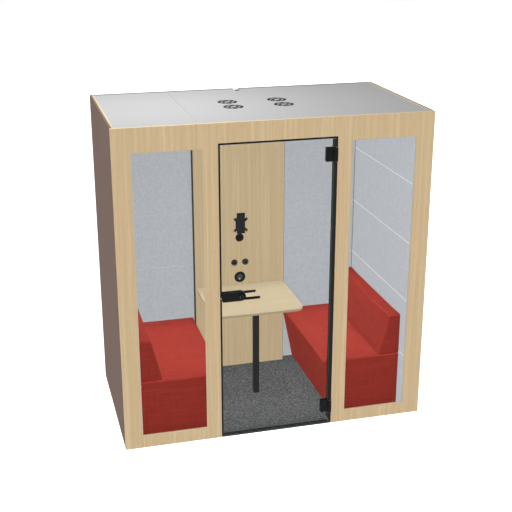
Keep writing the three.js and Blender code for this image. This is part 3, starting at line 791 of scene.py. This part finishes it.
for name, x, node, body in (("light_push_cap", -45, "light_button", "light_push"), ("fan_push_cap", 45, "fan_button", "fan_push")):
    bm = bmesh.new()
    add_lathe(bm, [(0, -9.6), (12, -9.9), (19, -10.6), (20.6, -11.0), (22.2, -10.2), (22.6, -8.6), (22.6, -4.6), (10, -4.4), (10, 29), (0, 29)], (x, 1100, 916), "Y", 56)
    b = piece(name, bm, "plastic", body, 38)
    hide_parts(node)
    bm = bmesh.new()
    add_lathe(bm, [(23.1, -0.2), (23.1, -7.6), (23.8, -8.4), (25.0, -7.6), (25.6, -3.0), (25.6, -0.2)], (x, 1100, 916), "Y", 56)
    piece(name.replace("cap", "bezel"), bm, "black", "pod", 38)
    bm = bmesh.new()
    add_lathe(bm, [(15.4, -10.2), (16.6, -10.3), (16.6, -10.7), (15.4, -10.6)], (x, 1100, 916), "Y", 56)
    piece(name.replace("cap", "ring"), bm, "steel", body, 38)

bm = bmesh.new()
add_lathe(bm, [(0, 13), (21.6, 13), (21.9, -3.6), (23.2, -4.9), (38, -4.9), (43.5, -3.9), (45, -1.6), (45, -0.3), (32, -0.3), (32, 55), (0, 55)], (0, 1100, 790), "Y", 64)
sock = piece("socket_body", bm, "plastic", "pod", 38)
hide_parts("power_socket")
# the socket's contacts and earthing springs take the flat light grey: tinned metal, with the glint painted in
bm = bmesh.new()
for x in (-9.5, 9.5):
    add_lathe(bm, [(0, 12.95), (2.6, 12.95), (2.6, 12.3), (3.6, 12.3), (3.6, 13.1), (0, 13.1)], (x, 1100, 790), "Y", 24)
for zs in (-1, 1):          # earthing springs
    add_box(bm, -6.5, 6.5, 1100 + 0.2, 1100 + 12.4, 790 + zs * 18.6, 790 + zs * 20.2)
piece("socket_contacts", bm, "contact", "pod", 38)
bm = bmesh.new()
add_lathe(bm, [(0, 12.9), (21.3, 12.9), (21.3, -3.0), (20.7, -3.0), (20.7, 12.2), (0, 12.2)], (0, 1100, 790), "Y", 56)
piece("socket_cup", bm, "cup", "pod", 38)

# ------------------------------------------------------------------ fans
for a, dy in (("front", -92), ("rear", 92)):
    for side, s in (("left", -1), ("right", 1)):
        cx, cy, cz = s * 182, 605 + dy, 2247
        bm = bmesh.new()
        add_lathe(bm, [(0, -10), (18.6, -10), (20, -8.6), (20, 8.6), (18.6, 10.4), (0, 10.8)], (cx, cy, cz), "Z", 40)
        for k in range(7):
            g = []
            for i in range(7):
                r = 18.5 + (53.6 - 18.5) * i / 6
                tw = math.radians(48 - 16 * i / 6)
                ch = 19 + 7 * i / 6
                row = []
                for j in range(6):
                    u = (j / 5 - 0.5) * ch
                    cam_h = 2.2 * (1 - (2 * j / 5 - 1) ** 2)
                    yy, zz = u * math.cos(tw) - cam_h * math.sin(tw), u * math.sin(tw) * 0.8 + cam_h * math.cos(tw)
                    ang = 2 * math.pi * k / 7 + yy / r + 0.10 * i / 6
                    row.append((cx + r * math.cos(ang), cy + r * math.sin(ang), cz + max(-9.6, min(9.8, zz))))
                g.append(row)
            top = [[bm.verts.new(P(*p)) for p in row] for row in g]
            bot = [[bm.verts.new(P(p[0], p[1], p[2] - 1.4)) for p in row] for row in g]
            for i in range(6):
                for j in range(5):
                    bm.faces.new((top[i][j], top[i + 1][j], top[i + 1][j + 1], top[i][j + 1]))
                    bm.faces.new((bot[i][j], bot[i][j + 1], bot[i + 1][j + 1], bot[i + 1][j]))
            rim = [(i, 0) for i in range(7)] + [(6, j) for j in range(1, 6)] + [(i, 5) for i in range(5, -1, -1)] + [(0, j) for j in range(4, 0, -1)]
            for (i0, j0), (i1, j1) in zip(rim, rim[1:] + rim[:1]):
                bm.faces.new((top[i0][j0], bot[i0][j0], bot[i1][j1], top[i1][j1]))
        r = piece(f"fan_blades_{a}_{side}", bm, "plastic", f"fan_{a}_{side}", 38)
        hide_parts(f"fan_rotor_{a}_{side}")

# ------------------------------------------------------------------ small things outside
for a, y in (("front", 150), ("rear", 1140)):
    for side, s in (("left", -1), ("right", 1)):
        bm = bmesh.new()
        add_lathe(bm, [(0, 0), (21.5, 0), (23.6, 0.7), (24, 1.8), (23.2, 3.4), (21, 3.9), (6, 3.9), (6, 56), (0, 56)], (s * 1036, y, 0), "Z", 48)
        f = piece(f"glide_{a}_{side}", bm, "foot", "pod", 38)
        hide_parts(f"foot_{a}_{side}")
bm = bmesh.new()
for x in (-5.5, 0, 5.5):
    add_box(bm, x - 1.0, x + 1.0, 1194.2, 1206, 2257 + (2 if x == 0 else -1) - 2, 2257 + (2 if x == 0 else -1) + 2)
piece("inlet_pins", bm, "steel", "pod")
bm = bmesh.new()          # light housing around the diffuser
for x0, x1, y0, y1 in ((-458, 458, 222, 230), (-458, 458, 350, 358), (-458, -450, 230, 350), (450, 458, 230, 350)):
    add_box(bm, x0, x1, y0, y1, 2202, 2211.8)
piece("light_frame", bm, "joint", "pod")

# ------------------------------------------------------------------ floor, world and light
bm = bmesh.new()
bmesh.ops.create_grid(bm, x_segments=1, y_segments=1, size=30)
me = bpy.data.meshes.new("floor")
bm.to_mesh(me)
bm.free()
floor = bpy.data.objects.new("floor", me)
scene.collection.objects.link(floor)
fm = Mat("studio_floor", 0.9, specular=0.0)
fn = fm.noise(fm.vec((1, 1, 1)), 0.7, 2, 0.5)
fm.colour(fm.mix(fm.range(fn, 0.3, 0.7), (0.86, 0.86, 0.86, 1), (0.88, 0.88, 0.88, 1)))
fm.p.inputs["Emission Color"].default_value = (1, 1, 1, 1)
_seen = fm.t.nodes.new("ShaderNodeLightPath")
floor_glow = fm.t.nodes.new("ShaderNodeMapRange")
fm.link(_seen.outputs["Is Camera Ray"], floor_glow.inputs["Value"])
floor_glow.inputs["To Min"].default_value = 0.12
floor_glow.inputs["To Max"].default_value = 0.8
fm.link(floor_glow.outputs[0], fm.p.inputs["Emission Strength"])
me.materials.append(fm.m)

world = bpy.data.worlds.new("world")
scene.world = world
world.use_nodes = True
wt = world.node_tree
wt.nodes.clear()
wo = wt.nodes.new("ShaderNodeOutputWorld")
bg_l, bg_c = wt.nodes.new("ShaderNodeBackground"), wt.nodes.new("ShaderNodeBackground")
bg_l.inputs[0].default_value = (1, 1, 1, 1)
bg_l.inputs[1].default_value = 0.17
bg_c.inputs[0].default_value = (1, 1, 1, 1)
bg_c.inputs[1].default_value = 1.0
lp = wt.nodes.new("ShaderNodeLightPath")
mx = wt.nodes.new("ShaderNodeMixShader")
wt.links.new(lp.outputs["Is Camera Ray"], mx.inputs[0])
wt.links.new(bg_l.outputs[0], mx.inputs[1])
wt.links.new(bg_c.outputs[0], mx.inputs[2])
wt.links.new(mx.outputs[0], wo.inputs[0])


def area(name, loc, target, size, power, size_y=None, colour=(1, 1, 1), shadow=False, spread=math.pi):
    d = bpy.data.lights.new(name, "AREA")
    d.use_shadow, d.spread = shadow, spread
    d.energy, d.size, d.color = power, size, colour
    d.shape = "RECTANGLE"
    d.size_y = size_y or size
    o = bpy.data.objects.new(name, d)
    scene.collection.objects.link(o)
    o.location = loc
    o.rotation_euler = (Vector(target) - Vector(loc)).to_track_quat("-Z", "Y").to_euler()
    o.visible_camera = False
    o.visible_glossy = False
    return o


def sun(name, direction, power):
    """Even light along one direction, without shadows, as in a bright showroom."""
    d = bpy.data.lights.new(name, "SUN")
    d.energy, d.angle, d.use_shadow = power, 0.5, False
    o = bpy.data.objects.new(name, d)
    scene.collection.objects.link(o)
    o.location = (0, 0, 4)
    o.rotation_euler = Vector(direction).to_track_quat("-Z", "Y").to_euler()
    o.visible_camera = False
    o.visible_glossy = False
    return o


area("roof_wash", (-0.75, 0.0, 3.75), (-0.55, 0.0, 2.2), 1.3, 29, 1.4, shadow=True)
area("cabin_top", P(0, 560, 2195), P(0, 560, 0), 1.96, 5.05, 1.1, spread=0.35)
sun("even_front", (0, 1, -0.05), 1.62)
sun("even_top", (0, 0.05, -1), 1.28)
sun("even_left", (1, 0.1, -0.05), 2.0)
sun("even_right", (-1, 0.1, -0.05), 0.6)
sun("even_rear", (0, -1, -0.1), 1.5)

scene.view_settings.view_transform = "Standard"
scene.view_settings.look = "None"
scene.cycles.max_bounces = 10
scene.cycles.diffuse_bounces = 0
scene.cycles.transparent_max_bounces = 16
